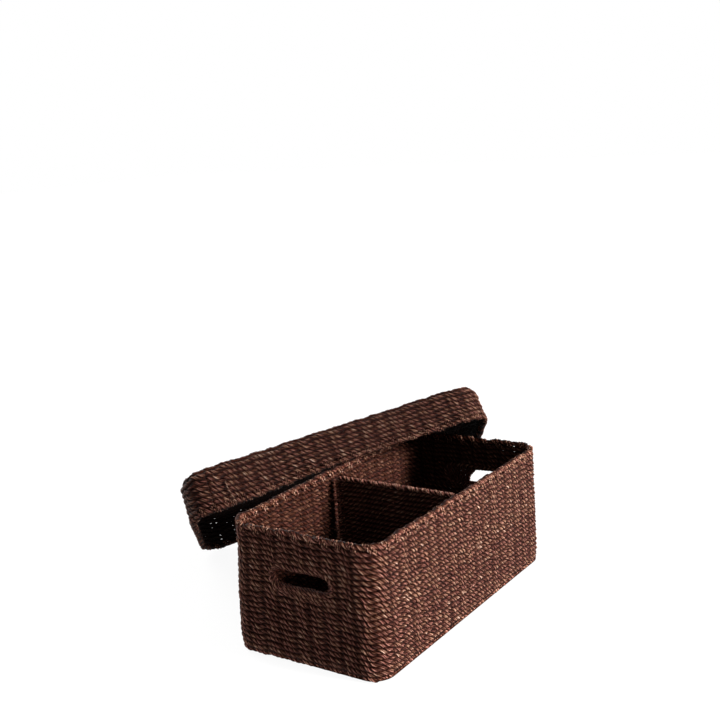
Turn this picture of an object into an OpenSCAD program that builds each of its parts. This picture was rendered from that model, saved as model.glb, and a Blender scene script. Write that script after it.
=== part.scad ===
// Woven storage trunk: a wire frame dressed in twisted cord weave, two compartments,
// a cut-out handle in each end and a deep lift-off lid that leans over the rear right corner.
// Millimetres. Origin at the middle of the underside, X along the trunk, Z up.

/* [Body] */
// outside length
body_l = 500; // [400:1:600]
// outside width
body_w = 256; // [205:1:307]
// height to the top of the rim
body_h = 200; // [160:1:240]
// thickness of the woven wall
wall_t = 9; // [7:0.5:12]
// outside radius of the upright corners
corner_r = 34; // [28:1:45]
// height of the rim border
rim_h = 10; // [8:0.5:14]
// width of the rim border
rim_w = 11; // [9:0.5:14]
// height of the rolled base border
base_h = 10; // [9:0.5:14]

/* [Frame wires] */
// ring wire diameter
ring_d = 4; // [3:0.5:6]
// stake wire diameter
stake_d = 3; // [2:0.5:4]
// clearance round a wire in its channel
chan = 0.2; // [0.1:0.1:0.6]
// distance between stakes on the long walls
stake_pitch = 84; // [60:1:100]
// end stake distance from the centre line
end_stake = 76; // [65:1:85]

/* [Handles] */
// clear length of the handle slot
slot_l = 100; // [90:1:120]
// clear height of the handle slot
slot_h = 28; // [25:1:35]
// height of the slot's middle above the floor
slot_z = 130; // [110:1:145]
// radial width of the bound edge
bind_w = 8; // [6:0.5:10]
// depth of the bound edge
bind_t = 10; // [9:0.5:12]

/* [Divider] */
// place of the divider along the trunk
div_x = 0; // [-60:1:60]
// thickness of the divider weave
div_t = 7; // [5:0.5:9]
// diameter of the divider border
div_b = 9; // [8:0.5:11]
// drop of the divider's top below the rim
div_drop = 7.5; // [4:0.5:20]
// gap between divider and wall
div_gap = 4.5; // [2:0.5:8]
// lacing cord diameter
lace_d = 3; // [2:0.5:4]

/* [Lid] */
// lid overhang on each side, wall plus play
lid_over = 13; // [12:0.5:16]
// depth of the lid
lid_d = 68; // [50:1:80]
// outside radius of the lid's corners
lid_r = 46; // [44:1:60]
// rounding of the lid's top edge
edge_r = 17; // [12:0.5:20]
// lid position when it leans
lid_at = [115.38, 189.82, 122.56]; // [-300:0.01:300]
// lid turn when it leans
lid_turn = [-36.47, -10.71, -42.8]; // [-180:0.01:180]

/* [Hidden] */
$fn = 48;
steel = [0.34, 0.33, 0.32];
cord = [0.42, 0.26, 0.17];
edge = [0.47, 0.29, 0.19];
half = wall_t / 2;
lid_l = body_l + 2 * lid_over;
lid_w = body_w + 2 * lid_over;
wall_z0 = base_h;
wall_z1 = body_h - rim_h;
div_top = body_h - div_drop - div_b / 2;
div_bot = wall_t + div_b / 2;
div_y = body_w / 2 - wall_t - div_gap - div_b / 2;

// ---- shared shapes ----
// a run along X on the +Y side; the child section has x outward and y up
module run(len, off) translate([-len / 2, off, 0]) rotate([90, 0, 90]) linear_extrude(len) children();
module corner(l, w, r, sx, sy, a) translate([sx * (l / 2 - r), sy * (w / 2 - r), 0]) rotate([0, 0, a])
  rotate_extrude(angle = 90) translate([r, 0]) children();
// closed rounded rectangle swept with the child section, l and w on the section's origin line
module ring(l, w, r) {
  run(l - 2 * r, w / 2) children();
  rotate([0, 0, 180]) run(l - 2 * r, w / 2) children();
  rotate([0, 0, 90]) run(w - 2 * r, l / 2) children();
  rotate([0, 0, 270]) run(w - 2 * r, l / 2) children();
  corner(l, w, r, 1, 1, 0) children();
  corner(l, w, r, -1, 1, 90) children();
  corner(l, w, r, -1, -1, 180) children();
  corner(l, w, r, 1, -1, 270) children();
}
module plate(l, w, r, h) {
  translate([-l / 2 + r, -w / 2, 0]) cube([l - 2 * r, w, h]);
  translate([-l / 2, -w / 2 + r, 0]) cube([l, w - 2 * r, h]);
  for (x = [-1, 1], y = [-1, 1]) translate([x * (l / 2 - r), y * (w / 2 - r), 0]) cylinder(r = r, h = h);
}
module rod_y(x, z, len, d) translate([x, -len / 2, z]) rotate([-90, 0, 0]) cylinder(d = d, h = len);
module rod_x(y, z, len, d) translate([-len / 2, y, z]) rotate([0, 90, 0]) cylinder(d = d, h = len);

// ---- body frame wires ----
post_r = corner_r - half;
cx = body_l / 2 - corner_r;
cy = body_w / 2 - corner_r;
st_z0 = base_h / 2 - 0.5 + ring_d / 2;
st_z1 = body_h - rim_h / 2 - ring_d / 2;
module posts(d) for (x = [-1, 1], y = [-1, 1])
  translate([x * (cx + post_r * cos(45)), y * (cy + post_r * sin(45)), st_z0]) cylinder(d = d, h = st_z1 - st_z0);
module side_stakes(d) for (x = [-2, -1, 1, 2], y = [-1, 1])
  translate([x * stake_pitch, y * (body_w / 2 - half), st_z0]) cylinder(d = d, h = st_z1 - st_z0);
module end_stakes(d) for (x = [-1, 1], y = [-1, 1])
  translate([x * (body_l / 2 - half), y * end_stake, st_z0]) cylinder(d = d, h = st_z1 - st_z0);
module uprights(c) { posts(ring_d + c); side_stakes(stake_d + c); end_stakes(stake_d + c); }
module cross_wires(d) for (i = [-2:2]) rod_y(i * stake_pitch, wall_t - 2.9, body_w - 2 * half - ring_d, d);
module long_wires(d) for (y = [-1, 1]) rod_x(y * body_w / 6, 2.9, body_l - 2 * half - ring_d, d);

module frame_base_ring() color(steel) translate([0, 0, base_h / 2 - 0.5])
  ring(body_l - wall_t, body_w - wall_t, post_r) circle(d = ring_d);
module frame_top_ring() color(steel) translate([0, 0, body_h - rim_h / 2])
  ring(body_l - wall_t, body_w - wall_t, post_r) circle(d = ring_d);
module frame_corner_posts() color(steel) posts(ring_d);
module frame_side_stakes() color(steel) side_stakes(stake_d);
module frame_end_stakes() color(steel) end_stakes(stake_d);
module base_cross_wires() color(steel) cross_wires(stake_d);
module base_long_wires() color(steel) long_wires(stake_d);

// ---- floor ----
module base_weave() color(cord) difference() {
  plate(body_l - 2 * wall_t, body_w - 2 * wall_t, corner_r - wall_t, wall_t);
  cross_wires(stake_d + chan);
  long_wires(stake_d + chan);
}
// rolled foot: half round below, flat above, with the ring wire inside
module foot_section() difference() {
  union() {
    translate([0, half]) circle(d = wall_t);
    translate([-half, half]) square([wall_t, base_h - half]);
  }
  translate([0, base_h / 2 - 0.5]) circle(d = ring_d + chan);
}
module base_border() color(edge) difference() {
  ring(body_l - wall_t, body_w - wall_t, post_r) foot_section();
  uprights(chan);
  cross_wires(stake_d + chan);
  long_wires(stake_d + chan);
}

// ---- walls ----
module lace_holes() for (y = [-1, 1], z = [50, 100, 150], x = [-1, 1])
  translate([div_x + x * (div_b / 2 + 1.8), y * body_w / 2 - 20, z]) rotate([-90, 0, 0]) cylinder(d = lace_d + chan, h = 40);
module long_wall(s) difference() {
  translate([-cx, s > 0 ? body_w / 2 - wall_t : -body_w / 2, wall_z0]) cube([2 * cx, wall_t, wall_z1 - wall_z0]);
  side_stakes(stake_d + chan);
  lace_holes();
}
module front_wall_weave() color(cord) long_wall(-1);
module rear_wall_weave() color(cord) long_wall(1);
// a stadium lying across the end wall, cut through it
module stadium_cut(l, h, t) {
  for (y = [-1, 1]) translate([-t / 2, y * (l - h) / 2, 0]) rotate([0, 90, 0]) cylinder(d = h, h = t);
  translate([-t / 2, -(l - h) / 2, -h / 2]) cube([t, l - h, h]);
}
module end_wall() difference() {
  union() {
    translate([-body_l / 2, -cy, wall_z0]) cube([wall_t, 2 * cy, wall_z1 - wall_z0]);
    for (s = [1, -1]) translate([-cx, s * cy, wall_z0]) rotate([0, 0, s > 0 ? 90 : 180]) rotate_extrude(angle = 90)
      translate([corner_r - wall_t, 0]) square([wall_t, wall_z1 - wall_z0]);
  }
  uprights(chan);
  translate([-body_l / 2 + half, 0, slot_z]) stadium_cut(slot_l + 2 * bind_w, slot_h + 2 * bind_w, wall_t + 10);
}
module left_end_weave() color(cord) end_wall();
module right_end_weave() color(cord) rotate([0, 0, 180]) end_wall();

// ---- rim ----
module rim_section() difference() {
  union() {
    intersection() {
      translate([0, rim_h - rim_w / 2]) circle(d = rim_w);
      translate([-rim_w, 0]) square([2 * rim_w, rim_h]);
    }
    translate([-rim_w / 2, 0]) square([rim_w, rim_h - rim_w / 2]);
  }
  translate([0, rim_h / 2]) circle(d = ring_d + chan);
}
module rim_border() color(edge) difference() {
  translate([0, 0, wall_z1]) ring(body_l - wall_t, body_w - wall_t, post_r) rim_section();
  uprights(chan);
}

// ---- handle slots ----
// stadium path in the end wall, child section has x outward and y across the wall
module stadium_ring(l, h) {
  a = (l - h) / 2;
  for (s = [0, 180]) rotate([s, 0, 0]) {
    translate([0, -a, h / 2]) rotate([0, -90, -90]) linear_extrude(2 * a) children();
    translate([0, a, 0]) rotate([0, -90, 0]) rotate([0, 0, 0]) rotate([0, 0, 0]) half_turn(h) children();
  }
}
module half_turn(h) rotate([0, 0, 0]) rotate_extrude(angle = 180) translate([h / 2, 0]) children();
module bind_section() difference() {
  union() {
    for (s = [-1, 1]) translate([0, s * (bind_t - bind_w) / 2]) circle(d = bind_w);
    translate([-bind_w / 2, -(bind_t - bind_w) / 2]) square([bind_w, bind_t - bind_w]);
  }
  circle(d = stake_d + chan);
}
module handle_loop() translate([-body_l / 2 + half, 0, slot_z]) stadium_ring(slot_l + bind_w, slot_h + bind_w) circle(d = stake_d);
module handle_binding() translate([-body_l / 2 + half, 0, slot_z]) stadium_ring(slot_l + bind_w, slot_h + bind_w) bind_section();
module left_handle_loop() color(steel) handle_loop();
module left_handle_binding() color(edge) handle_binding();
module right_handle_loop() color(steel) rotate([0, 0, 180]) handle_loop();
module right_handle_binding() color(edge) rotate([0, 0, 180]) handle_binding();

// ---- divider ----
// upright rounded rectangle in the YZ plane, swept with the child section
module div_ring(r) translate([div_x, 0, (div_top + div_bot) / 2]) rotate([0, 90, 0])
  ring(div_top - div_bot, 2 * div_y, r) children();
module divider_frame() color(steel) div_ring(9) circle(d = ring_d);
module divider_border() color(edge) div_ring(9) difference() {
  circle(d = div_b);
  circle(d = ring_d + chan);
}
module divider_weave() color(cord) difference() {
  translate([div_x - div_t / 2, 0, (div_top + div_bot) / 2]) rotate([0, 90, 0])
    plate(div_top - div_bot - 2.6, 2 * div_y - 2.6, 7.7, div_t);
  div_ring(9) circle(d = div_b);
  for (y = [-1, 1], z = [50, 100, 150]) translate([div_x, y * (div_y - 8), z]) rotate([0, 90, 0])
    cylinder(d = lace_d + chan, h = 30, center = true);
}
module lacing(y0, y1) {
  q = div_b / 2 + 1.8;
  for (x = [-q, q]) {
    translate([x, y0, 0]) rotate([-90, 0, 0]) cylinder(d = lace_d, h = y1 - y0);
    for (y = [y0, y1]) translate([x, y, 0]) sphere(d = lace_d);
  }
  for (y = [y0, y1]) translate([-q, y, 0]) rotate([0, 90, 0]) cylinder(d = lace_d, h = 2 * q);
}
module divider_lacings() color(edge) for (s = [0, 180], z = [50, 100, 150])
  translate([div_x, 0, z]) rotate([0, 0, s]) lacing(div_y - 8, body_w / 2 + lace_d / 2 + 0.1);

// ---- lid ----
// built flat with the opening on z = 0, then set leaning
module lean() translate(lid_at) rotate(lid_turn) children();
lid_cr = lid_r - half;
lid_mid = edge_r - (edge_r - half) * sin(45);
module lid_rim_ring() color(steel) lean() translate([0, 0, 4.5])
  ring(lid_l - wall_t, lid_w - wall_t, lid_cr) circle(d = ring_d);
module lid_top_ring() color(steel) lean() translate([0, 0, lid_d - lid_mid])
  ring(lid_l - 2 * lid_mid, lid_w - 2 * lid_mid, lid_r - lid_mid) circle(d = ring_d);
lx = lid_l / 2 - lid_r;
ly = lid_w / 2 - lid_r;
module struts(d) for (x = [-1, 1], y = [-1, 1])
  translate([x * (lx + lid_cr * cos(45)), y * (ly + lid_cr * sin(45)), 4.5 + ring_d / 2]) cylinder(d = d, h = lid_d - edge_r - 4.5 - ring_d / 2);
module lid_corner_struts() color(steel) lean() struts(ring_d);
module lid_cross(d) for (i = [-2:2]) rod_y(i * stake_pitch, lid_d - 6.1, lid_w - 2 * edge_r, d);
module lid_long(d) for (y = [-1, 1]) rod_x(y * lid_w / 6, lid_d - 2.9, lid_l - 2 * edge_r, d);
module lid_cross_wires() color(steel) lean() lid_cross(stake_d);
module lid_long_wires() color(steel) lean() lid_long(stake_d);
module lid_panel_weave() color(cord) lean() difference() {
  translate([0, 0, lid_d - wall_t]) plate(lid_l - 2 * edge_r, lid_w - 2 * edge_r, lid_r - edge_r, wall_t);
  lid_cross(stake_d + chan);
  lid_long(stake_d + chan);
}
// straight skirt that rolls over into the top; x is 0 on the outer face, y up
module skirt_section() difference() {
  union() {
    translate([-wall_t, 10]) square([wall_t, lid_d - edge_r - 10]);
    intersection() {
      translate([-edge_r, lid_d - edge_r]) circle(r = edge_r);
      translate([-edge_r, lid_d - edge_r]) square([edge_r, edge_r]);
    }
  }
  translate([-edge_r, lid_d - edge_r]) circle(r = edge_r - wall_t);
  translate([-lid_mid, lid_d - lid_mid]) circle(d = ring_d + chan);
}
module lid_long_side() run(2 * lx, lid_w / 2) skirt_section();
module lid_rear_skirt() color(cord) lean() lid_long_side();
module lid_front_skirt() color(cord) lean() rotate([0, 0, 180]) lid_long_side();
module lid_end() difference() {
  union() {
    rotate([0, 0, 90]) run(2 * ly, lid_l / 2) skirt_section();
    corner(lid_l, lid_w, lid_r, -1, 1, 90) skirt_section();
    corner(lid_l, lid_w, lid_r, -1, -1, 180) skirt_section();
  }
  struts(ring_d + chan);
}
module lid_left_end() color(cord) lean() lid_end();
module lid_right_end() color(cord) lean() rotate([0, 0, 180]) lid_end();
module lid_rim_section() difference() {
  union() {
    translate([0, 5]) circle(d = 10);
    translate([-5, 5]) square([10, 5]);
  }
  translate([0, 4.5]) circle(d = ring_d + chan);
}
module lid_rim_border() color(edge) lean() difference() {
  ring(lid_l - wall_t, lid_w - wall_t, lid_cr) lid_rim_section();
  struts(ring_d + chan);
}

frame_base_ring();
frame_top_ring();
frame_corner_posts();
frame_side_stakes();
frame_end_stakes();
base_cross_wires();
base_long_wires();
base_weave();
base_border();
front_wall_weave();
rear_wall_weave();
left_end_weave();
right_end_weave();
rim_border();
left_handle_loop();
left_handle_binding();
right_handle_loop();
right_handle_binding();
divider_frame();
divider_weave();
divider_border();
divider_lacings();
lid_rim_ring();
lid_top_ring();
lid_corner_struts();
lid_cross_wires();
lid_long_wires();
lid_panel_weave();
lid_front_skirt();
lid_rear_skirt();
lid_left_end();
lid_right_end();
lid_rim_border();
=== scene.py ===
import math

import bpy
import numpy as np
from mathutils import Matrix, Vector

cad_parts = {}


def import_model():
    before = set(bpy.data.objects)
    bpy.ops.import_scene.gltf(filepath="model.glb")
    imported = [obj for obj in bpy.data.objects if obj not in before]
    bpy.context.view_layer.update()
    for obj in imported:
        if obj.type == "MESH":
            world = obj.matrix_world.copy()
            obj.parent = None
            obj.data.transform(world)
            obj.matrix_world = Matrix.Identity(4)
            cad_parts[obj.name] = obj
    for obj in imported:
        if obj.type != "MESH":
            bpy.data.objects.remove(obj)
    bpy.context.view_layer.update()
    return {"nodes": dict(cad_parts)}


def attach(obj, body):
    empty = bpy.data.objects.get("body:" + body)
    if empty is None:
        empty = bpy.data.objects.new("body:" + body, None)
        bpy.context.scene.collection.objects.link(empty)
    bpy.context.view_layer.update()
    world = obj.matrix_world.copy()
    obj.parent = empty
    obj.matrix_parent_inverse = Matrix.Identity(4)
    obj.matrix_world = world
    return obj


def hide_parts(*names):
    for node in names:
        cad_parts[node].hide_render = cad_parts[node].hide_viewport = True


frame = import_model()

NODES = frame["nodes"]
MM = 0.001

# ------------------------------------------------------------------ sizes, in millimetres, as in the CAD
BODY_L, BODY_W, BODY_H = 500.0, 256.0, 200.0
WALL_T, CORNER_R = 9.0, 34.0
RIM_H, BASE_H = 10.0, 10.0
X0, Y0, R0 = BODY_L / 2 - CORNER_R, BODY_W / 2 - CORNER_R, CORNER_R - WALL_T / 2
SLOT_L, SLOT_H, SLOT_Z = 100.0, 28.0, 130.0
LID_L, LID_W, LID_D, LID_R, LID_EDGE = 526.0, 282.0, 68.0, 46.0, 17.0
LX0, LY0, LR0 = LID_L / 2 - LID_R, LID_W / 2 - LID_R, LID_R - WALL_T / 2
LEAN = (
    Matrix.Translation((115.38, 189.82, 122.56))
    @ Matrix.Rotation(math.radians(-42.8), 4, "Z")
    @ Matrix.Rotation(math.radians(-10.71), 4, "Y")
    @ Matrix.Rotation(math.radians(-36.47), 4, "X")
)
ROW = 8.18  # height of one woven row
LAY = 17.2  # one full turn of the two-ply cord
RIB = 25.8  # distance between the stakes that the rows pinch in on


# ------------------------------------------------------------------ camera
def make_camera():
    yaw, pitch, roll = math.radians(35.289), math.radians(-12.194), math.radians(-4.032)
    fw = Vector((math.cos(pitch) * math.cos(yaw), math.cos(pitch) * math.sin(yaw), math.sin(pitch)))
    rt = Vector((math.sin(yaw), -math.cos(yaw), 0.0))
    up = rt.cross(fw)
    c, s = math.cos(roll), math.sin(roll)
    r2, u2 = c * rt + s * up, -s * rt + c * up
    m = Matrix(((r2.x, u2.x, -fw.x), (r2.y, u2.y, -fw.y), (r2.z, u2.z, -fw.z))).to_4x4()
    m.translation = Vector((-1.34342, -0.90158, 0.74108))
    data = bpy.data.cameras.new("camera")
    data.lens, data.sensor_width = 54.825, 36.0
    data.clip_start, data.clip_end = 0.01, 60.0
    cam = bpy.data.objects.new("camera", data)
    bpy.context.scene.collection.objects.link(cam)
    cam.matrix_world = m
    bpy.context.scene.camera = cam
    return cam


make_camera()


# ------------------------------------------------------------------ mesh building
def ease(t):
    t = np.clip(t, 0.0, 1.0)
    return t * t * (3 - 2 * t)


def settle(v, body):
    """The slack of the woven shell, in mm: the trunk's rear left corner bellies out towards the floor, and the free end of the lid's near side hangs a little lower."""
    v = v.copy()
    if body == "trunk":
        k = np.exp(-(((v[:, 0] + 250.0) / 95.0) ** 2)) * np.exp(-(((v[:, 1] - 128.0) / 85.0) ** 2)) * ease((170.0 - v[:, 2]) / 125.0)
        v[:, 0] -= 4.0 * k
        v[:, 1] += 5.4 * k
    else:
        drop = 15.0 * ease((60.0 - v[:, 0]) / 300.0) * np.clip(1.0 - v[:, 2] / 66.0, 0.0, 1.1) * ease((60.0 - v[:, 1]) / 200.0)
        v[:, 2] -= drop + 1.0 * ease((-60.0 - v[:, 0]) / 200.0) * np.clip(v[:, 2] / 66.0, 0.0, 1.0)
    return v


class Strands:
    """Collects closed tubes, each a strand of cord, into one mesh with the attributes its material reads."""

    def __init__(self):
        self.v, self.q, self.t, self.fib, self.crev, self.tone = [], [], [], [], [], []
        self.n = 0

    def tube(self, ring, centre, fib, crev, tone, closed):
        m, k, _ = ring.shape
        idx = np.arange(m * k).reshape(m, k) + self.n
        a = idx if closed else idx[:-1]
        b = np.roll(idx, -1, 0) if closed else idx[1:]
        a2, b2 = np.roll(a, -1, 1), np.roll(b, -1, 1)
        mid = (ring[0] + ring[1]) / 2
        e1, e2 = ring[0, 1] - ring[0, 0], ring[1, 0] - ring[0, 0]
        out = ring[0, 0] - centre[0]
        flip = float(np.dot(np.cross(e1, e2), out)) < 0
        quads = np.stack([a, b, b2, a2] if flip else [a, a2, b2, b], -1).reshape(-1, 4)
        self.q.append(quads)
        self.v.append(ring.reshape(-1, 3))
        self.fib.append(fib.reshape(-1, 3))
        self.crev.append(crev.reshape(-1))
        self.tone.append(np.repeat(tone, k))
        self.n += m * k
        if not closed:
            ends = np.stack([ring[0].mean(0), ring[-1].mean(0)])
            i0, i1 = self.n, self.n + 1
            self.v.append(ends)
            self.fib.append(np.stack([fib[0].mean(0), fib[-1].mean(0)]))
            # the caps are set low: painted shade at the strand ends
            self.crev.append(np.array([0.2, 0.2]))
            self.tone.append(np.array([tone[0], tone[-1]]))
            self.n += 2
            first, last = idx[0], idx[-1]
            f2, l2 = np.roll(first, -1), np.roll(last, -1)
            c0, c1 = np.full(k, i0), np.full(k, i1)
            if flip:
                self.t.append(np.stack([c0, first, f2], -1))
                self.t.append(np.stack([c1, l2, last], -1))
            else:
                self.t.append(np.stack([c0, f2, first], -1))
                self.t.append(np.stack([c1, last, l2], -1))

    def build(self, name, body, mat, nodes=(), slot=None, place=None):
        v = settle(np.concatenate(self.v), body)
        if place is not None:
            m = np.array(place)
            v = v @ m[:3, :3].T + m[:3, 3]
        v = (v * MM).astype(np.float32)
        q = np.concatenate(self.q)
        t = np.concatenate(self.t) if self.t else np.zeros((0, 3), int)
        me = bpy.data.meshes.new(name)
        me.vertices.add(len(v))
        me.vertices.foreach_set("co", v.ravel())
        loops = np.concatenate([q.ravel(), t.ravel()]).astype(np.int32)
        me.loops.add(len(loops))
        me.loops.foreach_set("vertex_index", loops)
        nf = len(q) + len(t)
        me.polygons.add(nf)
        start = np.concatenate([np.arange(len(q)) * 4, len(q) * 4 + np.arange(len(t)) * 3]).astype(np.int32)
        me.polygons.foreach_set("loop_start", start)
        me.polygons.foreach_set("use_smooth", np.ones(nf, bool))
        me.update(calc_edges=True)
        a = me.attributes.new("fib", "FLOAT_VECTOR", "POINT")
        a.data.foreach_set("vector", np.concatenate(self.fib).astype(np.float32).ravel())
        # per-vertex value that paints shade down between the strands and a highlight on their outermost parts
        a = me.attributes.new("crev", "FLOAT", "POINT")
        a.data.foreach_set("value", np.concatenate(self.crev).astype(np.float32))
        a = me.attributes.new("tone", "FLOAT", "POINT")
        a.data.foreach_set("value", np.concatenate(self.tone).astype(np.float32))
        me.materials.append(mat)
        me.validate()
        ob = bpy.data.objects.new(name, me)
        bpy.context.scene.collection.objects.link(ob)
        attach(ob, body)
        if nodes:
            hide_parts(*nodes)
        return ob


def smooth(t, y):
    """Catmull-Rom curve through the values y at 0, 1, 2 and so on."""
    y = np.concatenate([[2 * y[0] - y[1]], y, [2 * y[-1] - y[-2]]])
    i = np.clip(t.astype(int), 0, len(y) - 4)
    f = t - i
    a, b, c, d = y[i], y[i + 1], y[i + 2], y[i + 3]
    return 0.5 * (2 * b + (c - a) * f + (2 * a - 5 * b + 4 * c - d) * f**2 + (3 * b - a - 3 * c + d) * f**3)


def unit(v):
    return v / np.maximum(np.linalg.norm(v, axis=-1, keepdims=True), 1e-12)


def frames(p, nref, closed):
    if closed:
        t = np.roll(p, -1, 0) - np.roll(p, 1, 0)
    else:
        t = np.gradient(p, axis=0)
    t = unit(t)
    n = unit(nref - (nref * t).sum(-1, keepdims=True) * t)
    return t, n, np.cross(n, t)


def arc_length(p):
    return np.concatenate([[0.0], np.cumsum(np.linalg.norm(np.diff(p, axis=0), axis=1))])


def rope(w, p, nref, phase, rng, count=2, an=2.1, ab=2.1, th=2.1, wd=2.6, lay=LAY, sides=7, closed=False, flat=True, size=None, tone=None, s=None, shade=None, pair=False, jitter=0.13, inner=1.0):
    """Strands turning round the path p. Each centre goes round an oval, an out from the wall and ab up; each section is th thick and wd wide.
    phase is the angle of the first strand at each point."""
    t, n, b = frames(p, nref, closed)
    m = len(p)
    if flat:  # three strands, laid half as steep again, still one over each upright
        phase, count = phase * 2.0 / 3.0, 3
    s = arc_length(p) if s is None else s
    size = np.ones(m) if size is None else size
    phi = np.arange(sides) / sides * 2 * math.pi
    cphi, sphi = np.cos(phi)[None, :], np.sin(phi)[None, :]
    base = rng.uniform(0, 1) if tone is None else tone
    for j in range(count):
        turn = (phase + 2 * math.pi * j / count) / math.pi
        lo, hi = math.floor(turn.min()) - 1, math.ceil(turn.max()) + 2
        at = np.arange(lo, hi)
        tones = np.interp(turn, at, rng.normal(0, jitter, len(at)))
        fat = 1 + np.interp(turn, at, rng.normal(0, 0.055, len(at)))
        ang = (phase + 2 * math.pi * j / count)[:, None]
        ct, st = np.cos(ang), np.sin(ang)
        k = size[:, None]
        f = fat[:, None]
        tn = base + rng.normal(0, 0.10) + tones
        subs = (-1, 1) if pair else (0,)
        rock = 0.55 * np.sin(s[:, None] / rng.uniform(4.5, 7.0) + rng.uniform(0, 6.28))
        for side in subs:
            if side:
                de, dt = 0.44 * side * th * np.sin(rock), 0.47 * side * wd * np.cos(rock)
                a_th, a_wd = 0.88 * th, 0.56 * wd
            else:
                de, dt, a_th, a_wd = 0.0, 0.0, th, wd
            x1 = an * ct + (de + a_th * f * cphi) * ct - (dt + a_wd * f * sphi) * st
            y1 = ab * st + (de + a_th * f * cphi) * st + (dt + a_wd * f * sphi) * ct
            u, v = k * x1, k * y1
            ring = p[:, None, :] + u[..., None] * n[:, None, :] + v[..., None] * b[:, None, :]
            cu, cv = k * (an * ct + de * ct - dt * st), k * (ab * st + de * st + dt * ct)
            centre = p + cu * n + cv * b
            twist = phi[None, :] - s[:, None] * 2 * math.pi / (lay * 1.7)
            fib = np.stack([np.repeat(((s + rng.uniform(0, 4000)) * MM)[:, None], sides, 1), np.cos(twist), np.sin(twist)], -1)
            # height runs from the back of each strand to its outermost side; stored per vertex, it paints shade down
            # between the strands and a highlight on their tops
            if flat:
                height = np.abs(u) / (k * (an + th))
                # each sub-strand is darker towards its edges: painted shade
                if side:
                    height = height * (0.66 + 0.34 * cphi)
            else:
                height = np.clip((np.sqrt(u * u + v * v) / (k * (an + th)) - 0.62) / 0.36, 0.05, 1)
            # the side facing into the basket is darker: painted shade
            if inner < 1.0:
                height = height * (inner + (1.0 - inner) * np.clip(0.5 + 1.3 * u / (k * (an + th)), 0.0, 1.0))
            if shade is not None:
                height = height * shade[:, None]
            w.tube(ring, centre, fib, height, np.clip(tn + rng.normal(0, 0.17), 0, 1), closed)


def stake(w, p, nref, rng, half_t, half_w, sides=6, shade=0.3):
    """One flat upright that the rows are twined round."""
    t, n, b = frames(p, nref, False)
    m = len(p)
    s = arc_length(p)
    phi = np.arange(sides) / sides * 2 * math.pi
    u, v = half_t * np.cos(phi)[None, :], half_w * np.sin(phi)[None, :]
    ring = p[:, None, :] + u[..., None] * n[:, None, :] + v[..., None] * b[:, None, :]
    fib = np.stack([np.repeat(((s + rng.uniform(0, 4000)) * MM)[:, None], sides, 1), np.repeat(np.cos(phi)[None, :], m, 0), np.repeat(np.sin(phi)[None, :], m, 0)], -1)
    w.tube(ring, p, fib, np.full((m, sides), shade), np.full(m, rng.uniform(0.2, 0.8)), False)


def loop_xy(s, x0, y0, r, r0):
    """Point and outward normal at s along a rounded rectangle, s measured at corner radius r0, starting at the left end of the front side."""
    a, b, c = 2 * x0, 2 * y0, math.pi / 2 * r0
    total = 2 * a + 2 * b + 4 * c
    s = np.mod(s, total)
    p, n = np.zeros((len(s), 2)), np.zeros((len(s), 2))
    at = 0.0
    spec = [
        (a, (-x0, -y0), (1, 0), (0, -1)), (c, (x0, -y0), -90),
        (b, (x0, -y0), (0, 1), (1, 0)), (c, (x0, y0), 0),
        (a, (x0, y0), (-1, 0), (0, 1)), (c, (-x0, y0), 90),
        (b, (-x0, y0), (0, -1), (-1, 0)), (c, (-x0, -y0), 180),
    ]
    for part in spec:
        sel = (s >= at - 1e-9) & (s <= at + part[0] + 1e-9)
        d = s[sel] - at
        if len(part) == 4:
            start, along, out = map(np.array, part[1:])
            n[sel] = out
            p[sel] = start + along * d[:, None] + out * r
        else:
            ang = math.radians(part[2]) + d / r0
            nn = np.stack([np.cos(ang), np.sin(ang)], -1)
            n[sel] = nn
            p[sel] = np.array(part[1]) + nn * r
        at += part[0]
    return p, n


class Field:
    """A smooth wave field over (along the loop, height) that closes on itself round the loop."""

    def __init__(self, seed, total, amp, lo, hi, tall=160.0, n=9):
        r = np.random.default_rng(seed)
        self.k = np.round(total / r.uniform(lo, hi, n)) * 2 * math.pi / total
        self.m = r.uniform(-1, 1, n) * 2 * math.pi / tall
        self.p = r.uniform(0, 2 * math.pi, n)
        a = r.normal(size=n)
        self.a = a * amp / math.sqrt((a * a).sum() / 2)

    def __call__(self, s, z):
        return sum(a * np.sin(k * s + m * z + p) for a, k, m, p in zip(self.a, self.k, self.m, self.p))


def total_of(x0, y0, r0):
    return 4 * x0 + 4 * y0 + 2 * math.pi * r0


T_LOOP = total_of(X0, Y0, R0)
L_LOOP = total_of(LX0, LY0, LR0)
DS = 2.35
SIDES = 5
PLY = dict(an=2.15, ab=2.4, th=2.15, wd=2.55, pair=True)  # the three-strand weave, as it passes round the uprights


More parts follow.
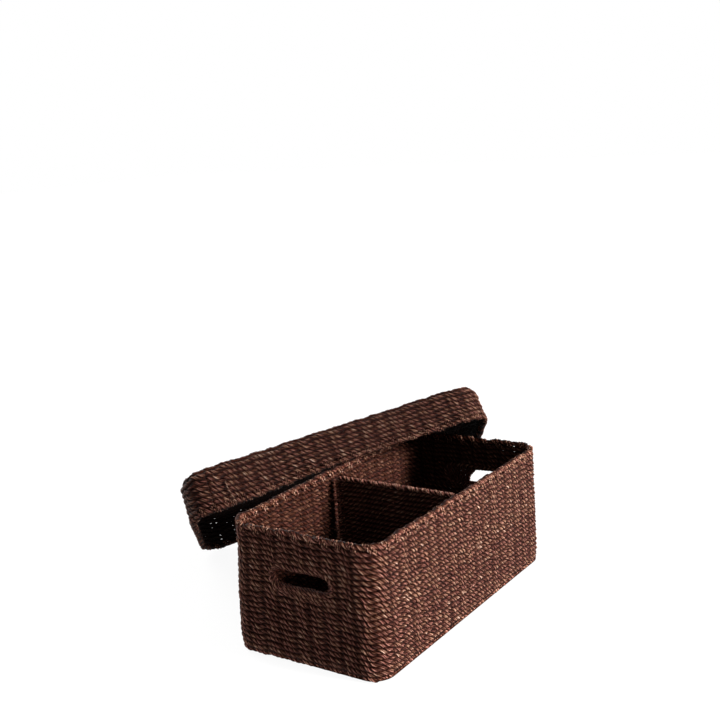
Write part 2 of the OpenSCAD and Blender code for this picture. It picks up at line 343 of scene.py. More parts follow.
class Loop:
    """The rows of one woven loop: how they wave, pinch and turn."""

    def __init__(self, seed, x0, y0, r0, total, pinch, inner, flat_w):
        self.x0, self.y0, self.r0, self.total, self.pinch, self.inner, self.flat_w = x0, y0, r0, total, pinch, inner, flat_w
        self.lay = total / round(total / LAY)
        self.rib = total / round(total / RIB)
        self.wave = Field(seed, total, 1.05, 45, 170)
        self.fine = Field(seed + 1, total, 0.34, 16, 40, 60)
        self.slip = Field(seed + 2, total, 1.15, 60, 300, 120)
        self.fat = Field(seed + 3, total, 0.05, 14, 60, 25)
        self.seed = seed

    def row(self, w, k, s0, s1, z, inset=0.0, bow=None, dia=1.0, tilt=0.0, lift=None):
        m = max(4, int(abs(s1 - s0) / DS) + 1)
        s = np.linspace(s0, s1, m)
        rng = np.random.default_rng(self.seed * 1000 + k * 10 + int(s0) % 7)
        xy, n = loop_xy(s, self.x0, self.y0, self.r0 - inset, self.r0)
        calm = (1.0 - 0.6 * math.sin(tilt)) * (0.35 + 0.65 * float(ease((z - 4.0) / 40.0)))
        zz = z + self.wave(s, z) * calm + self.fine(s, z) + (0.72 + 0.10 * math.sin(2.3 * k)) * calm * np.sin(2 * math.pi * s / self.rib + 0.9 * np.sin(z / 31.0))
        if bow is not None:
            zz = zz + bow(xy)
        off = 0.42 * np.sin(math.pi * s / self.rib + math.pi * k) + 0.15 * self.fine(s, z + 900)
        p = np.concatenate([xy + n * off[:, None], zz[:, None]], 1)
        nref = np.concatenate([n * math.cos(tilt), np.full((m, 1), math.sin(tilt))], 1)
        row_rng = np.random.default_rng(self.seed * 77 + k)
        near = np.abs(np.mod(s / self.rib + 0.5, 1.0) - 0.5) * self.rib
        size = 1.03 * dia * (1 + self.fat(s, z)) * (1 - self.pinch * np.exp(-((near / 3.2) ** 2)))
        phase = -2 * math.pi * s / self.lay + self.slip(s, z) + row_rng.normal(0, 0.55)
        rope(w, p, nref, phase, rng, sides=SIDES, lay=self.lay, size=size, tone=row_rng.uniform(0.3, 0.7), s=s, shade=1 - 0.30 * np.exp(-((near / 3.0) ** 2)), inner=self.inner, **PLY)

    def uprights(self, w, s0, s1, zs, inset=None, keep=None, nz=None):
        """The flat uprights inside the wall, one at every place where a strand lies outermost. zs are the heights they run through;
        inset and nz give the inset and the rise of the wall's normal at those heights."""
        zs = np.asarray(zs, float)
        ins = np.zeros(len(zs)) if inset is None else np.asarray(inset, float)
        rise = np.zeros(len(zs)) if nz is None else np.asarray(nz, float)
        j0, j1 = int(math.ceil(s0 * 2 / self.lay)), int(math.floor((s1 - 1e-6) * 2 / self.lay))
        for j in range(j0, j1 + 1):
            s = np.full(len(zs), j * self.lay / 2)
            for _ in range(3):
                s = self.lay / (2 * math.pi) * (math.pi * j + self.slip(s, zs))
            s = np.clip(s, s0 + 1.5, s1 - 1.5)
            pts, nrm = [], []
            for i in range(len(zs)):
                xy, n = loop_xy(s[i : i + 1], self.x0, self.y0, self.r0 - ins[i], self.r0)
                pts.append((xy[0, 0], xy[0, 1], zs[i]))
                flat_n = math.sqrt(max(0.0, 1 - rise[i] ** 2))
                nrm.append((n[0, 0] * flat_n, n[0, 1] * flat_n, rise[i]))
            pts, nrm = np.array(pts), np.array(nrm)
            ok = np.ones(len(zs), bool) if keep is None else keep(pts)
            run = []
            for i in range(len(zs) + 1):
                if i < len(zs) and ok[i]:
                    run.append(i)
                else:
                    if len(run) > 2:
                        rng = np.random.default_rng(self.seed * 9000 + j * 3 + run[0])
                        stake(w, pts[run], nrm[run], rng, 1.7, self.flat_w)
                    run = []


# the 0.80 and 0.22 darken the rows' inward sides: painted shade, far deeper in the lid
BODY = Loop(11, X0, Y0, R0, T_LOOP, 0.05, 0.80, 4.35)
LID = Loop(37, LX0, LY0, LR0, L_LOOP, 0.11, 0.22, 3.8)

FRONT = (0.0, 2 * X0)
RIGHT = (2 * X0, 2 * X0 + 2 * Y0 + math.pi * R0)
REAR = (RIGHT[1], RIGHT[1] + 2 * X0)
LEFT = (REAR[1], T_LOOP)
LFRONT = (0.0, 2 * LX0)
LRIGHT = (2 * LX0, 2 * LX0 + 2 * LY0 + math.pi * LR0)
LREAR = (LRIGHT[1], LRIGHT[1] + 2 * LX0)
LLEFT = (LREAR[1], L_LOOP)

BIND_R = SLOT_H / 2 + 4.0  # centre line of the binding round the slot
BIND_X = (SLOT_L - SLOT_H) / 2  # half of its straight part


def slot_bow(z):
    """Rows above and below the hand slot bow round its binding."""

    def f(xy):
        d = z - SLOT_Z
        push = {True: max(0.0, 23.5 - d), False: -max(0.0, 23.5 + d)}[d > 0]
        push = max(-3.0, min(3.6, push))
        fade = math.exp(-((max(0.0, abs(d) - 26.0) / 14.0) ** 2))
        return push * fade * np.exp(-((xy[:, 1] / 62.0) ** 4))

    return f


def wall(name, span, nodes, slotted):
    w, high = Strands(), Strands()
    rows = 22
    for k in range(rows):
        if k == rows // 2:  # the upper rows are a piece of their own
            low, w = w, high
        z = BASE_H + (k + 0.5) * ROW
        if not slotted or k < 3:
            BODY.row(w, k, span[0], span[1], z, inset=(0.8, 0.2, 0.0)[k] if k < 3 else 0.0)
            continue
        d = z - SLOT_Z
        mid = (span[0] + span[1]) / 2
        if abs(d) < BIND_R - 1.0:
            reach = BIND_X + math.sqrt(max(0.0, (BIND_R - 1.0) ** 2 - d * d))
            BODY.row(w, k, span[0], mid - reach, z, dia=1.04)
            BODY.row(w, k, mid + reach, span[1], z, dia=1.04)
        else:
            BODY.row(w, k, span[0], span[1], z, bow=slot_bow(z) if abs(d) < 50 else None, dia=1.08 if abs(d) < 50 else 1.0)

    def clear_of_slot(pts):
        d = np.hypot(np.maximum(np.abs(pts[:, 1]) - BIND_X, 0.0), pts[:, 2] - SLOT_Z)
        return d > BIND_R - 1.0

    BODY.uprights(high, span[0], span[1], np.linspace(BASE_H - 3.0, BODY_H - RIM_H + 3.0, 46), keep=clear_of_slot if slotted else None)
    low.build(name + "_lower", "trunk", CORD, (), "cord_weave")
    return high.build(name, "trunk", CORD, nodes, "cord_weave")


def wound(w, p, n, up, total, half_w, half_h, pitch, r, seed, bands=1, cords=2, crown=0.0, every=None):
    """Bands of cords wound together round a path on an oval section, each band crowned, as a rolled border is."""
    turns = round(total / pitch)
    pitch = total / turns
    steps = int(total / (1.45))
    every = 2.1 * r * math.hypot(pitch, math.pi * (half_w + half_h)) / (math.pi * (half_w + half_h)) if every is None else every
    for g in range(bands):
        for j in range(cords):
            rng = np.random.default_rng(seed + 10 * g + j)
            u = np.arange(steps) / steps * total
            c = j - (cords - 1) / 2
            shift = g * pitch / bands + c * every
            slow = 0.30 * np.sin(u * 2 * math.pi * round(total / 140) / total + seed) + 0.16 * np.sin(u * 2 * math.pi * round(total / 37) / total + g * 2 + seed)
            a = -2 * math.pi * (u - shift) / pitch + slow
            lift = crown * (1.0 - 1.35 * abs(c)) + 0.25 * np.sin(u * 2 * math.pi * round(total / 61) / total + 1.7 * g + j)
            pp, nn, bb = p(u), n(u), up(u)
            q = pp + ((half_w + lift) * np.cos(a))[:, None] * nn + ((half_h + lift) * np.sin(a))[:, None] * bb
            nref = unit((np.cos(a) / half_w)[:, None] * nn + (np.sin(a) / half_h)[:, None] * bb)
            arc = arc_length(q)
            full = arc[-1] + np.linalg.norm(q[-1] - q[0])
            lay = full / round(full / 10.0)
            rope(
                w, q, nref, -2 * math.pi * arc / lay + rng.uniform(0, 6.28), rng, an=r * 0.46, ab=r * 0.46, th=r * 0.56, wd=r * 0.66, lay=lay,
                sides=5, closed=True, flat=False, s=arc, tone=rng.uniform(0.4, 0.7), shade=np.full(steps, 1.0 - 0.16 * abs(c)),
            )


def loop_border(name, body, lp, z_core, z_wound, half_h, mat, nodes, seed, place=None, half_w=3.5, dia=1.0):
    """A top row and the paired ends of the uprights laid over it, one pair every third upright."""
    w = Strands()
    lp.row(w, 90, 0.0, lp.total, z_core, dia=dia)

    def pt(u):
        xy, _ = loop_xy(u, lp.x0, lp.y0, lp.r0, lp.r0)
        return np.concatenate([xy, (z_wound + 0.5 * lp.wave(u, z_wound))[:, None]], 1)

    def nr(u):
        _, n = loop_xy(u, lp.x0, lp.y0, lp.r0, lp.r0)
        return np.concatenate([n, np.zeros((len(u), 1))], 1)

    def up(u):
        return np.tile(np.array([0.0, 0.0, 1.0]), (len(u), 1))

    wound(w, pt, nr, up, lp.total, half_w, half_h, 24.0, 2.25, seed, crown=0.5)
    return w.build(name, body, mat, nodes, "cord_border", place)


# ------------------------------------------------------------------ materials
def links(mat):
    mat.use_nodes = True
    nt = mat.node_tree
    nt.nodes.clear()
    return nt, nt.nodes, nt.links


def ramp(nodes, stops, interpolation="LINEAR"):
    r = nodes.new("ShaderNodeValToRGB")
    r.color_ramp.interpolation = interpolation
    while len(r.color_ramp.elements) < len(stops):
        r.color_ramp.elements.new(0.5)
    for e, (pos, col) in zip(r.color_ramp.elements, stops):
        e.position = pos
        e.color = (*col, 1.0)
    return r


def cord_material(name, gain=1.0, seed=0.0):
    mat = bpy.data.materials.new(name)
    nt, nodes, link = links(mat)
    out = nodes.new("ShaderNodeOutputMaterial")
    bsdf = nodes.new("ShaderNodeBsdfPrincipled")
    link.new(bsdf.outputs[0], out.inputs[0])
    tc = nodes.new("ShaderNodeTexCoord")
    fib = nodes.new("ShaderNodeAttribute")
    fib.attribute_name = "fib"
    # how far out each point of a strand lies: painted shade in the hollows, painted highlight on the tops
    crev = nodes.new("ShaderNodeAttribute")
    crev.attribute_name = "crev"
    tone = nodes.new("ShaderNodeAttribute")
    tone.attribute_name = "tone"

    # patches of dye that run a few centimetres along the rows
    mp = nodes.new("ShaderNodeMapping")
    mp.inputs["Location"].default_value = (seed, seed * 0.7, 0.0)
    mp.inputs["Scale"].default_value = (1.0, 1.0, 2.4)
    link.new(tc.outputs["Object"], mp.inputs["Vector"])
    patch = nodes.new("ShaderNodeTexNoise")
    patch.inputs["Scale"].default_value = 52.0
    patch.inputs["Detail"].default_value = 4.0
    patch.inputs["Roughness"].default_value = 0.65
    link.new(mp.outputs[0], patch.inputs["Vector"])
    # the tone of each strand along its own length
    mf = nodes.new("ShaderNodeMapping")
    mf.inputs["Scale"].default_value = (70.0, 0.35, 0.35)
    link.new(fib.outputs["Vector"], mf.inputs["Vector"])
    along = nodes.new("ShaderNodeTexNoise")
    along.inputs["Scale"].default_value = 1.0
    along.inputs["Detail"].default_value = 3.0
    link.new(mf.outputs[0], along.inputs["Vector"])
    a1 = nodes.new("ShaderNodeMath")
    a1.operation = "MULTIPLY_ADD"
    link.new(tone.outputs["Fac"], a1.inputs[0])
    a1.inputs[1].default_value = 0.42
    link.new(patch.outputs["Fac"], a1.inputs[2])
    a2 = nodes.new("ShaderNodeMath")
    a2.operation = "MULTIPLY_ADD"
    link.new(along.outputs["Fac"], a2.inputs[0])
    a2.inputs[1].default_value = 0.80
    link.new(a1.outputs[0], a2.inputs[2])
    a3 = nodes.new("ShaderNodeMath")
    a3.operation = "SUBTRACT"
    a3.use_clamp = True
    link.new(a2.outputs[0], a3.inputs[0])
    a3.inputs[1].default_value = 0.60
    g = gain
    tint = ramp(
        nodes,
        [
            (0.08, (0.105 * g, 0.037 * g, 0.030 * g)),
            (0.30, (0.190 * g, 0.072 * g, 0.054 * g)),
            (0.50, (0.250 * g, 0.114 * g, 0.084 * g)),
            (0.68, (0.290 * g, 0.154 * g, 0.096 * g)),
            (0.92, (0.550 * g, 0.370 * g, 0.295 * g)),
        ],
    )
    link.new(a3.outputs[0], tint.inputs[0])
    # fibres: fine streaks along the strand, the brightest lifted towards white as a painted sheen highlight
    ms = nodes.new("ShaderNodeMapping")
    ms.inputs["Scale"].default_value = (150.0, 2.3, 2.3)
    link.new(fib.outputs["Vector"], ms.inputs["Vector"])
    streak = nodes.new("ShaderNodeTexNoise")
    streak.inputs["Scale"].default_value = 1.0
    streak.inputs["Detail"].default_value = 5.0
    streak.inputs["Roughness"].default_value = 0.7
    link.new(ms.outputs[0], streak.inputs["Vector"])
    fibre_sheen_ramp = ramp(nodes, [(0.30, (0.24, 0.16, 0.13)), (0.5, (0.88, 0.84, 0.82)), (0.70, (2.3, 2.5, 2.7))])
    link.new(streak.outputs["Fac"], fibre_sheen_ramp.inputs[0])
    m1 = nodes.new("ShaderNodeMix")
    m1.data_type = "RGBA"
    m1.blend_type = "MULTIPLY"
    m1.inputs["Factor"].default_value = 0.9
    link.new(tint.outputs[0], m1.inputs["A"])
    link.new(fibre_sheen_ramp.outputs[0], m1.inputs["B"])
    # painted shade down between the strands, and a painted highlight on their outermost parts
    cr = ramp(nodes, [(0.08, (0.030, 0.018, 0.014)), (0.40, (0.12, 0.055, 0.034)), (0.68, (0.42, 0.31, 0.27)), (0.92, (1.50, 1.54, 1.56))])
    link.new(crev.outputs["Fac"], cr.inputs[0])
    m2 = nodes.new("ShaderNodeMix")
    m2.data_type = "RGBA"
    m2.blend_type = "MULTIPLY"
    m2.inputs["Factor"].default_value = 1.0
    link.new(m1.outputs["Result"], m2.inputs["A"])
    link.new(cr.outputs[0], m2.inputs["B"])
    link.new(m2.outputs["Result"], bsdf.inputs["Base Color"])
    rr = ramp(nodes, [(0.2, (0.72, 0.72, 0.72)), (0.8, (0.46, 0.46, 0.46))])
    link.new(streak.outputs["Fac"], rr.inputs[0])
    link.new(rr.outputs[0], bsdf.inputs["Roughness"])
    bsdf.inputs["Specular IOR Level"].default_value = 0.07
    bump = nodes.new("ShaderNodeBump")
    bump.inputs["Strength"].default_value = 0.8
    bump.inputs["Distance"].default_value = 0.0006
    link.new(streak.outputs["Fac"], bump.inputs["Height"])
    link.new(bump.outputs[0], bsdf.inputs["Normal"])
    return mat


def wire_material():
    mat = bpy.data.materials.new("frame_wire")
    nt, nodes, link = links(mat)
    out = nodes.new("ShaderNodeOutputMaterial")
    bsdf = nodes.new("ShaderNodeBsdfPrincipled")
    link.new(bsdf.outputs[0], out.inputs[0])
    tc = nodes.new("ShaderNodeTexCoord")
    n1 = nodes.new("ShaderNodeTexNoise")
    n1.inputs["Scale"].default_value = 260.0
    n1.inputs["Detail"].default_value = 6.0
    link.new(tc.outputs["Object"], n1.inputs["Vector"])
    c = ramp(nodes, [(0.3, (0.016, 0.005, 0.003)), (0.55, (0.030, 0.010, 0.006)), (0.78, (0.055, 0.024, 0.016))])
    link.new(n1.outputs["Fac"], c.inputs[0])
    link.new(c.outputs[0], bsdf.inputs["Base Color"])
    r = ramp(nodes, [(0.3, (0.97, 0.97, 0.97)), (0.7, (0.86, 0.86, 0.86))])
    link.new(n1.outputs["Fac"], r.inputs[0])
    link.new(r.outputs[0], bsdf.inputs["Roughness"])
    bsdf.inputs["Specular IOR Level"].default_value = 0.0
    bump = nodes.new("ShaderNodeBump")
    bump.inputs["Distance"].default_value = 0.0002
    link.new(n1.outputs["Fac"], bump.inputs["Height"])
    link.new(bump.outputs[0], bsdf.inputs["Normal"])
    return mat


# The gains make lit and shaded copies of one cord: the borders are lighter, a painted highlight on their beads; the
# lid's cords are darker, painted shade, its border a little lighter again
CORD = cord_material("cord_twisted", 0.66)
EDGE_CORD_LIT = cord_material("cord_border", 0.92, 0.37)
LID_CORD_SHADED = cord_material("cord_lid", 0.42, 0.81)
LID_EDGE_CORD_SHADED = cord_material("cord_lid_border", 0.50, 0.93)
WIRE = wire_material()


def dress(node, mat):
    me = NODES[node].data
    if not me.materials:
        me.materials.append(mat)
    for i in range(len(me.materials)):
        me.materials[i] = mat


# ------------------------------------------------------------------ trunk
wall("front_wall_twined", FRONT, ["front_wall_weave"], False)
wall("rear_wall_twined", REAR, ["rear_wall_weave"], False)
wall("left_end_twined", LEFT, ["left_end_weave"], True)
wall("right_end_twined", RIGHT, ["right_end_weave"], True)
loop_border("rim_rolled_border", "trunk", BODY, 195.0, 192.6, 5.5, EDGE_CORD_LIT, ["rim_border"], 501)


def straight_rows(w, seed, half_x, half_y, r, z, pitch, wave=0.4, inner=1.0, dia=1.06, rear=False):
    """Parallel rows across the front or rear half of a rounded plate, each cut to the plate's outline."""
    n = int(round(2 * half_y / pitch))
    step = 2 * half_y / n
    f = Field(seed, 600.0, wave, 60, 260, 90)
    g = Field(seed + 1, 600.0, 0.8, 60, 300, 120)
    cut = -half_y + (n // 2) * step
    for k in range(n // 2, n) if rear else range(n // 2):
        y = -half_y + (k + 0.5) * step
        over = max(0.0, abs(y) - (half_y - r))
        hx = half_x - (r - math.sqrt(max(0.0, r * r - over * over)))
        m = int(2 * hx / (1.18 * DS))
        x = np.linspace(-hx, hx, m)
        rng = np.random.default_rng(seed * 31 + k)
        near = np.abs(np.mod(x / RIB + 0.5, 1.0) - 0.5) * RIB
        size = dia * (step / ROW) * (1 - 0.1 * np.exp(-((near / 3.2) ** 2)))
        zz = z + 0.3 * np.sin(math.pi * x / RIB + math.pi * k)
        p = np.stack([x, y + f(x, y), zz], -1)
        nref = np.tile(np.array([0.0, 0.0, 1.0]), (m, 1))
        phase = -2 * math.pi * x / LAY + g(x, y) + rng.normal(0, 0.22)
        rope(w, p, nref, phase, rng, sides=SIDES, size=size, tone=rng.uniform(0.3, 0.7), s=x, inner=inner, **PLY)
    for j in range(int(-half_x * 2 / LAY), int(half_x * 2 / LAY) + 1):
        rng = np.random.default_rng(seed * 53 + j + 500)
        xj = j * LAY / 2
        over = max(0.0, abs(xj) - (half_x - r))
        hy = half_y - (r - math.sqrt(max(0.0, r * r - over * over)))
        if hy < 6:
            continue
        y = np.linspace(cut, hy, int(hy / 4.4)) if rear else np.linspace(-hy, cut, int(hy / 4.4))
        x = np.full(len(y), xj)
        for _ in range(3):
            x = LAY / (2 * math.pi) * (math.pi * j + g(x, y))
        x = np.clip(x, -half_x + 1.5, half_x - 1.5)
        stake(w, np.stack([x, y, np.full(len(y), z)], -1), np.tile(np.array([0.0, 0.0, 1.0]), (len(y), 1)), rng, 1.5, 4.15)


for name, nodes, rear in (("base_twined", ["base_weave"], False), ("base_twined_rear", (), True)):
    w = Strands()
    straight_rows(w, 61, BODY_L / 2 - WALL_T + 1.0, BODY_W / 2 - WALL_T + 0.4, 26.0, 5.0, 8.0, dia=1.10, rear=rear)
    w.build(name, "trunk", CORD, nodes, "cord_weave")

w = Strands()
BODY.row(w, 91, 0.0, T_LOOP, 6.2, inset=2.2, dia=1.0)
w.build("base_foot_border", "trunk", EDGE_CORD_LIT, ["base_border"], "cord_border")


# hand slots
def stadium(u, half, r):
    """Point, outward normal round a slot outline in its own plane, u from 0 to 1."""
    a, c = 2 * half, math.pi * r
    total = 2 * a + 2 * c
    d = np.mod(u, 1.0) * total
    p, n = np.zeros((len(d), 2)), np.zeros((len(d), 2))
    s1 = d < a
    p[s1] = np.stack([-half + d[s1], np.full(s1.sum(), r)], -1)
    n[s1] = (0, 1)
    s2 = (d >= a) & (d < a + c)
    an = math.pi / 2 - (d[s2] - a) / r
    n[s2] = np.stack([np.cos(an), np.sin(an)], -1)
    p[s2] = np.array([half, 0]) + n[s2] * r
    s3 = (d >= a + c) & (d < 2 * a + c)
    p[s3] = np.stack([half - (d[s3] - a - c), np.full(s3.sum(), -r)], -1)
    n[s3] = (0, -1)
    s4 = d >= 2 * a + c
    an = -math.pi / 2 - (d[s4] - 2 * a - c) / r
    n[s4] = np.stack([np.cos(an), np.sin(an)], -1)
    p[s4] = np.array([-half, 0]) + n[s4] * r
    return p, n


def binding(name, side, nodes, seed, loose=False):
    """One more row turned round the slot, and a lining cord on its inner side."""
    w = Strands()
    x = side * (BODY_L / 2 - WALL_T / 2)
    for i, (rad, across, dims) in enumerate(((-1.4, 0.0, None), (-5.2, 1.4, 1.55), (-5.2, -1.9, 1.55))):
        rng = np.random.default_rng(seed + i)
        r = BIND_R + rad
        total = 4 * BIND_X + 2 * math.pi * r
        m = int(total / 1.5)
        u = np.arange(m) / m
        p2, n2 = stadium(u, BIND_X, r)
        wob = 0.5 * np.sin(2 * math.pi * u * 5 + rng.uniform(0, 6)) + 0.3 * np.sin(2 * math.pi * u * 11 + rng.uniform(0, 6))
        p2 = p2 + n2 * wob[:, None]
        p = np.stack([np.full(m, x + side * across) + 0.3 * np.sin(2 * math.pi * u * 4 + i), p2[:, 0], SLOT_Z + p2[:, 1]], -1)
        if dims is None:
            nref = np.tile(np.array([float(side), 0.0, 0.0]), (m, 1))
            lay = total / (3 * round(total / (3 * LAY)))
            rope(w, p, nref, side * 2 * math.pi * u * total / lay + 0.5 * np.sin(2 * math.pi * u * 3), rng, lay=lay, sides=SIDES, closed=True, s=u * total, tone=0.45, **PLY)
        else:
            nref = np.stack([np.zeros(m), n2[:, 0], n2[:, 1]], -1)
            lay = total / round(total / 11.0)
            # the lining cord has a low tone and shade 0.78: painted shade inside the slot
            rope(w, p, nref, side * 2 * math.pi * u * total / lay, rng, an=0.5 * dims, ab=0.5 * dims, th=0.6 * dims, wd=0.75 * dims, lay=lay, sides=6, closed=True, flat=False, s=u * total, tone=0.25, shade=np.full(m, 0.78))
    if loose:
        # cords that have worked loose and hang close together across the rear part of this slot
        for i in range(42):
            rng = np.random.default_rng(seed + 300 + i)
            top, low = -8.0 + 1.43 * i, 12.5 + 1.0 * i
            z0, z1 = (147.0, 113.0) if i % 4 else (146.0, 117.0)
            sway = rng.uniform(-2.4, 2.4, 3)
            pts = ((top, z0), (top * 0.72 + low * 0.28 + sway[0], 138.5), (top * 0.4 + low * 0.6 + sway[1], 130.0), (top * 0.15 + low * 0.85 + sway[2], 121.0), (low, z1))
            c = np.array([(x + (i % 3 - 1) * 2.2 + 0.6 * (q % 2), min(a, 51.0), b) for q, (a, b) in enumerate(pts)], float)
            t = np.linspace(0, len(c) - 1, 34)
            q = np.stack([smooth(t, c[:, k]) for k in range(3)], -1)
            # a low tone and shade 0.8 darken them: painted shade inside the slot
            rope(w, q, np.tile(np.array([1.0, 0.0, 0.0]), (len(q), 1)), arc_length(q) / 1.9 + i, rng, an=1.15, ab=1.15, th=1.3, wd=1.6, lay=12.0, sides=5, flat=False, tone=0.15, shade=np.full(34, 0.8))
    return w.build(name, "trunk", CORD, nodes, "cord_border")


binding("left_slot_binding", -1, ["left_handle_binding"], 900)
binding("right_slot_binding", 1, ["right_handle_binding"], 950, loose=True)

# divider
w = Strands()
DIV_Y, DIV_Z0, DIV_Z1 = 110.0, 13.5, 188.0
rows = 21
f = Field(71, 440.0, 0.45, 40, 160, 90)
g = Field(72, 440.0, 0.8, 60, 200, 90)
step = (DIV_Z1 - DIV_Z0 - 8.0) / rows
for k in range(rows):
    z = DIV_Z0 + 4.0 + (k + 0.5) * step
    m = int(2 * DIV_Y / DS)
    y = np.linspace(-DIV_Y + 1.0, DIV_Y - 1.0, m)
    rng = np.random.default_rng(7100 + k)
    near = np.abs(np.mod(y / RIB + 0.5, 1.0) - 0.5) * RIB
    size = (step / ROW) * (1 - 0.1 * np.exp(-((near / 3.2) ** 2)))
    p = np.stack([0.4 * np.sin(math.pi * y / RIB + math.pi * k), y, z + f(y, z)], -1)
    nref = np.tile(np.array([-1.0, 0.0, 0.0]), (m, 1))
    rope(w, p, nref, 2 * math.pi * y / LAY + g(y, z) + rng.normal(0, 0.22), rng, sides=SIDES, size=size, tone=rng.uniform(0.2, 0.8), s=y, **dict(PLY, an=1.5, th=1.95))
for j in range(int(-DIV_Y * 2 / LAY) + 1, int(DIV_Y * 2 / LAY)):
    rng = np.random.default_rng(7200 + j + 100)
    z = np.linspace(DIV_Z0 + 1.0, DIV_Z1 - 1.0, 44)
    y = np.full(len(z), j * LAY / 2)
    for _ in range(3):
        y = LAY / (2 * math.pi) * (math.pi * j - g(y, z))
    y = np.clip(y, -DIV_Y + 3, DIV_Y - 3)
    stake(w, np.stack([np.zeros(len(z)), y, z], -1), np.tile(np.array([-1.0, 0.0, 0.0]), (len(z), 1)), rng, 1.1, 4.1)
w.build("divider_twined", "trunk", CORD, ["divider_weave"], "cord_weave")

w = Strands()
DR = 9.0
hy, hz, cz = DIV_Y - DR, (DIV_Z1 - DIV_Z0) / 2 - DR, (DIV_Z1 + DIV_Z0) / 2
D_LOOP = total_of(hy, hz, DR)


def div_pt(u):
    xy, _ = loop_xy(u, hy, hz, DR, DR)
    return np.stack([np.zeros(len(u)), -xy[:, 0], cz + xy[:, 1]], -1)


def div_nr(u):
    _, n = loop_xy(u, hy, hz, DR, DR)
    return np.stack([np.zeros(len(u)), -n[:, 0], n[:, 1]], -1)


def div_up(u):
    return np.tile(np.array([-1.0, 0.0, 0.0]), (len(u), 1))


m = int(D_LOOP / DS)
u = np.arange(m) / m * D_LOOP
core_lay = D_LOOP / round(D_LOOP / LAY)
rope(w, div_pt(u), div_nr(u), -2 * math.pi * u / core_lay, np.random.default_rng(7300), lay=core_lay, sides=SIDES, closed=True, flat=False, s=u, an=1.9, ab=1.7, th=1.9, wd=2.6, pair=True)
wound(w, div_pt, div_nr, div_up, D_LOOP, 2.6, 2.9, 24.0, 1.7, 7400)
w.build("divider_rolled_border", "trunk", EDGE_CORD_LIT, ["divider_border"], "cord_border")


# ------------------------------------------------------------------ lid, built in its own frame and leaned
def edge_row(w, k, span, a):
    inset = (LID_EDGE - 12.5 * math.cos(a)) - WALL_T / 2
    z = LID_D - LID_EDGE + 12.5 * math.sin(a)
    LID.row(w, k, span[0], span[1], z, inset=inset, tilt=a)


def lid_side(name, span, nodes):
    w = Strands()
    for k in range(5):
        LID.row(w, k, span[0], span[1], RIM_H + (k + 0.5) * ROW)
    for i, deg in enumerate((18.8, 56.4)):
        edge_row(w, 5 + i, span, math.radians(deg))
    arc = np.radians(np.linspace(6, 88, 9))
    zs = np.concatenate([np.linspace(RIM_H - 3.0, LID_D - LID_EDGE, 14), LID_D - LID_EDGE + 12.5 * np.sin(arc)])
    ins = np.concatenate([np.zeros(14), LID_EDGE - 12.5 * np.cos(arc) - WALL_T / 2])
    LID.uprights(w, span[0], span[1], zs, inset=ins, nz=np.concatenate([np.zeros(14), np.sin(arc)]))
    if span is LFRONT:
        t = np.linspace(0, 3, 26)
        y = -(LID_W / 2 + 1.6)
        c = np.array([(-182.0, y + 2.2, 2.0), (-185.0, y - 1.2, 13.0), (-188.5, y - 0.8, 26.0), (-189.0, y + 2.4, 37.0)])
        q = np.stack([smooth(t, c[:, k]) for k in range(3)], -1)
        rope(w, q, np.tile(np.array([0.0, -1.0, 0.0]), (26, 1)), t * 6, np.random.default_rng(4400), count=2, an=0.5, ab=0.5, th=0.6, wd=0.7, lay=9.0, sides=6, flat=False, tone=1.0, jitter=0.0)
    return w.build(name, "lid", LID_CORD_SHADED, nodes, "cord_weave", LEAN)


lid_side("lid_front_twined", LFRONT, ["lid_front_skirt"])
lid_side("lid_rear_twined", LREAR, ["lid_rear_skirt"])
lid_side("lid_left_twined", LLEFT, ["lid_left_end"])
lid_side("lid_right_twined", LRIGHT, ["lid_right_end"])
loop_border("lid_rolled_border", "lid", LID, 5.8, 7.6, 5.2, LID_EDGE_CORD_SHADED, ["lid_rim_border"], 601, LEAN)
for name, nodes, rear in (("lid_panel_twined", ["lid_panel_weave"], False), ("lid_panel_twined_rear", (), True)):
    w = Strands()
    if not rear:
        edge_row(w, 7, (0.0, L_LOOP), math.radians(90))
    # inner=0.22 darkens the panel's underside: painted shade
    straight_rows(w, 83, LID_L / 2 - LID_EDGE - 5.0, LID_W / 2 - LID_EDGE - 4.2, 24.0, LID_D - 4.5, 8.2, inner=0.22, rear=rear)
    w.build(name, "lid", LID_CORD_SHADED, nodes, "cord_weave", LEAN)

# lacings that hold the divider's uprights to the long walls
w = Strands()
for side in (-1, 1):
    for i, z in enumerate((50.0, 100.0, 150.0)):
        rng = np.random.default_rng(7600 + i + 10 * side)
        hx, y0, y1, r = 6.3, 102.0, 129.6, 2.2
        m = 60
        u = np.arange(m) / m * total_of(hx - r, (y1 - y0) / 2 - r, r)
        xy, n = loop_xy(u, hx - r, (y1 - y0) / 2 - r, r, r)
        p = np.stack([xy[:, 0], side * ((y0 + y1) / 2 + xy[:, 1]), z + 0.6 * np.sin(u / 9.0)], -1)
        nref = np.stack([n[:, 0], side * n[:, 1], np.zeros(m)], -1)
        full = total_of(hx - r, (y1 - y0) / 2 - r, r)
        rope(w, p, nref, 2 * math.pi * u / (full / 9), rng, an=0.72, ab=0.72, th=0.8, wd=0.95, lay=full / 9, sides=6, closed=True, flat=False)
w.build("divider_laces", "trunk", EDGE_CORD_LIT, ["divider_lacings"], "cord_border")

# ------------------------------------------------------------------ carried-over wires
for node in NODES:
    if not NODES[node].hide_render:
        dress(node, WIRE)


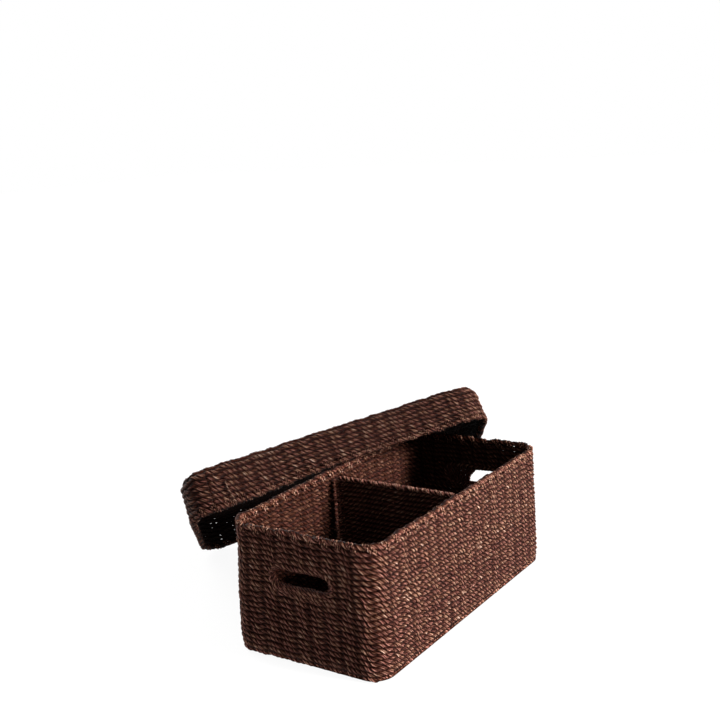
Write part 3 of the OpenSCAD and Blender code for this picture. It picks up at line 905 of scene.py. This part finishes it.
# ------------------------------------------------------------------ floor and light
def floor():
    me = bpy.data.meshes.new("floor")
    s = 14.0
    me.from_pydata([(-s, -s, 0), (s, -s, 0), (s, s, 0), (-s, s, 0)], [], [(0, 1, 2, 3)])
    ob = bpy.data.objects.new("floor", me)
    ob.location.z = -0.0004
    bpy.context.scene.collection.objects.link(ob)
    mat = bpy.data.materials.new("floor")
    nt, nodes, link = links(mat)
    out = nodes.new("ShaderNodeOutputMaterial")
    d = nodes.new("ShaderNodeBsdfDiffuse")
    d.inputs[0].default_value = (0.08, 0.08, 0.08, 1)
    e = nodes.new("ShaderNodeEmission")
    e.inputs["Strength"].default_value = 0.94
    a = nodes.new("ShaderNodeAddShader")
    link.new(d.outputs[0], a.inputs[0])
    link.new(e.outputs[0], a.inputs[1])
    link.new(a.outputs[0], out.inputs[0])
    me.materials.append(mat)


floor()


def world():
    w = bpy.data.worlds.new("studio")
    bpy.context.scene.world = w
    w.use_nodes = True
    nt = w.node_tree
    nt.nodes.clear()
    out = nt.nodes.new("ShaderNodeOutputWorld")
    seen = nt.nodes.new("ShaderNodeBackground")
    seen.inputs[0].default_value = (1, 1, 1, 1)
    seen.inputs[1].default_value = 1.0
    fill = nt.nodes.new("ShaderNodeBackground")
    fill.inputs[0].default_value = (0.96, 0.98, 1.0, 1)
    fill.inputs[1].default_value = 0.28
    lp = nt.nodes.new("ShaderNodeLightPath")
    mix = nt.nodes.new("ShaderNodeMixShader")
    nt.links.new(lp.outputs["Is Camera Ray"], mix.inputs[0])
    nt.links.new(fill.outputs[0], mix.inputs[1])
    nt.links.new(seen.outputs[0], mix.inputs[2])
    nt.links.new(mix.outputs[0], out.inputs[0])


world()


def area(name, loc, target, size, power, colour=(1, 1, 1)):
    d = bpy.data.lights.new(name, "AREA")
    d.shape = "DISK"
    d.size = size
    d.energy = power
    d.color = colour
    ob = bpy.data.objects.new(name, d)
    bpy.context.scene.collection.objects.link(ob)
    ob.location = loc
    ob.rotation_mode = "QUATERNION"
    ob.rotation_quaternion = (Vector(target) - Vector(loc)).to_track_quat("-Z", "Y")
    return ob


def sun(name, toward, strength, angle, colour=(1, 1, 1)):
    """A lamp whose light comes from the direction given."""
    d = bpy.data.lights.new(name, "SUN")
    d.energy = strength
    d.angle = math.radians(angle)
    d.color = colour
    ob = bpy.data.objects.new(name, d)
    bpy.context.scene.collection.objects.link(ob)
    ob.rotation_mode = "QUATERNION"
    ob.rotation_quaternion = Vector(toward).to_track_quat("Z", "Y")
    return ob


sun("key", (0.17, -1.0, 0.42), 9.8, 14, (1.0, 0.985, 0.96))
sun("back", (0.40, 1.0, 0.62), 3.6, 40, (1.0, 0.99, 0.98))

scene = bpy.context.scene
scene.view_settings.view_transform = "Standard"
scene.view_settings.look = "None"
